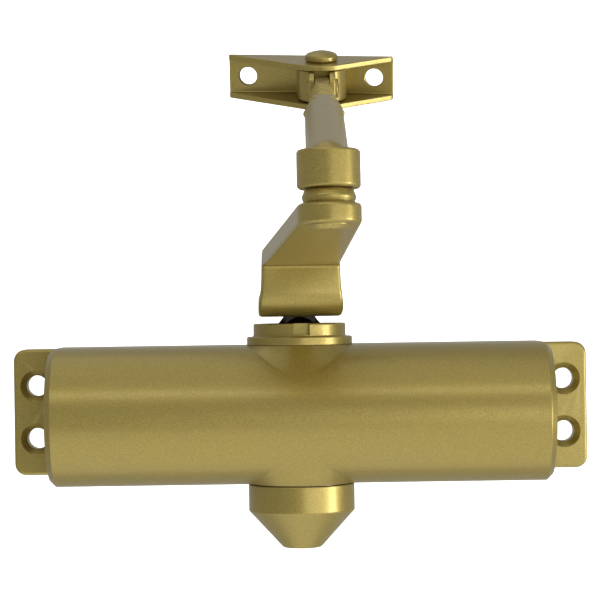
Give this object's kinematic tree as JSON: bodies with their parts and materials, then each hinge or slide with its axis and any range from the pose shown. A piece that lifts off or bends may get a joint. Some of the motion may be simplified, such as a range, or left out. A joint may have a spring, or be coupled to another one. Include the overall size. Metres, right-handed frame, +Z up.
{
  "type": "door closer",
  "caption": "Surface-mounted rack-and-pinion door closer with a rounded cast body, cranked main arm, adjustable forearm and swivelling frame shoe.",
  "frame": {"origin": "centre of the four body screw holes, on the face that meets the door", "axes": "+X along the body towards the valve screws, +Y into the door, +Z up along the spindle towards the arm"},
  "size_m": [0.2064, 0.2011, 0.1775],
  "materials": {
    "gold_paint": "satin metallic paint on steel",
    "gold_casting": "satin metallic paint on cast aluminium",
    "steel": "machined and ground",
    "iron": "machined",
    "bronze": "machined",
    "rubber": "matt"
  },
  "bodies": {
    "housing": {"housing": "gold_casting", "left_end_plug": "gold_paint", "right_end_plug": "gold_paint", "end_plug_o_rings": "rubber", "upper_bearing_nut": "gold_paint", "lower_bearing_nut": "steel", "upper_bearing": "steel", "lower_bearing": "steel", "upper_shaft_seal": "rubber", "lower_shaft_seal": "rubber", "outer_spring": "steel", "inner_spring": "steel"},
    "piston": {"piston": "iron", "piston_seals": "rubber", "spring_seat": "steel", "check_valve_ball": "steel", "check_valve_retainer": "bronze"},
    "closing_valve": {"closing_speed_valve": "bronze", "closing_valve_o_ring": "rubber"},
    "latching_valve": {"latching_speed_valve": "bronze", "latching_valve_o_ring": "rubber"},
    "spindle_cap": {"spindle_cap": "gold_casting"},
    "lever": {"spindle": "steel", "main_arm": "gold_paint", "arm_washer": "steel", "arm_screw": "steel", "elbow_stud": "gold_paint", "elbow_clip": "steel"},
    "forearm": {"elbow_socket": "gold_paint", "elbow_bush": "bronze", "elbow_cap": "gold_paint", "forearm_tube": "gold_paint", "lock_nut": "gold_paint"},
    "rod": {"forearm_rod": "gold_paint"},
    "knuckle": {"knuckle": "gold_paint", "cross_pin": "gold_paint"},
    "shoe": {"shoe_bracket": "gold_paint", "shoe_pin": "gold_paint"}
  },
  "joints": [
    {"name": "spindle_turn", "type": "hinge", "parent": "housing", "child": "lever", "pos_m": [0, -0.0205, 0.0333], "axis": [0, 0, 1], "range_deg": [0, 165], "stiffness_Nm_per_rad": 6, "springref_deg": -85.94},
    {"name": "piston_travel", "type": "slide", "parent": "housing", "child": "piston", "axis": [1, 0, 0], "range_m": [0, 0.0254], "deforming": ["outer_spring", "inner_spring"]},
    {"name": "closing_valve_turn", "type": "hinge", "parent": "housing", "child": "closing_valve", "pos_m": [0.0883, -0.04468, 0.0058], "axis": [1, 0, 0], "range_deg": [-180, 180]},
    {"name": "latching_valve_turn", "type": "hinge", "parent": "housing", "child": "latching_valve", "pos_m": [0.0883, -0.04468, -0.0082], "axis": [1, 0, 0], "range_deg": [-180, 180]},
    {"name": "cap_pull", "type": "slide", "parent": "housing", "child": "spindle_cap", "axis": [0, 0, -1], "range_m": [0, 0.03]},
    {"name": "elbow_turn", "type": "hinge", "parent": "lever", "child": "forearm", "pos_m": [0.00905, -0.18601, 0.07615], "axis": [-0.0033, 0.061, 0.9981], "range_deg": [-170, 170]},
    {"name": "forearm_length", "type": "slide", "parent": "forearm", "child": "rod", "axis": [0.0015, 0.974, 0.2267], "range_m": [-0.02, 0.02]},
    {"name": "knuckle_tilt", "type": "hinge", "parent": "rod", "child": "knuckle", "pos_m": [0.0093, -0.02414, 0.11383], "axis": [1, -0.0023, 0.0035], "range_deg": [-20, 20]},
    {"name": "shoe_swivel", "type": "hinge", "parent": "knuckle", "child": "shoe", "pos_m": [0.00931, -0.01407, 0.11683], "axis": [-0.004, -0.2858, 0.9583], "range_deg": [-65, 68]}
  ],
  "couplings": [
    {"joint": "piston_travel", "follows": "spindle_turn", "m_per_rad": 0.008802}
  ]
}
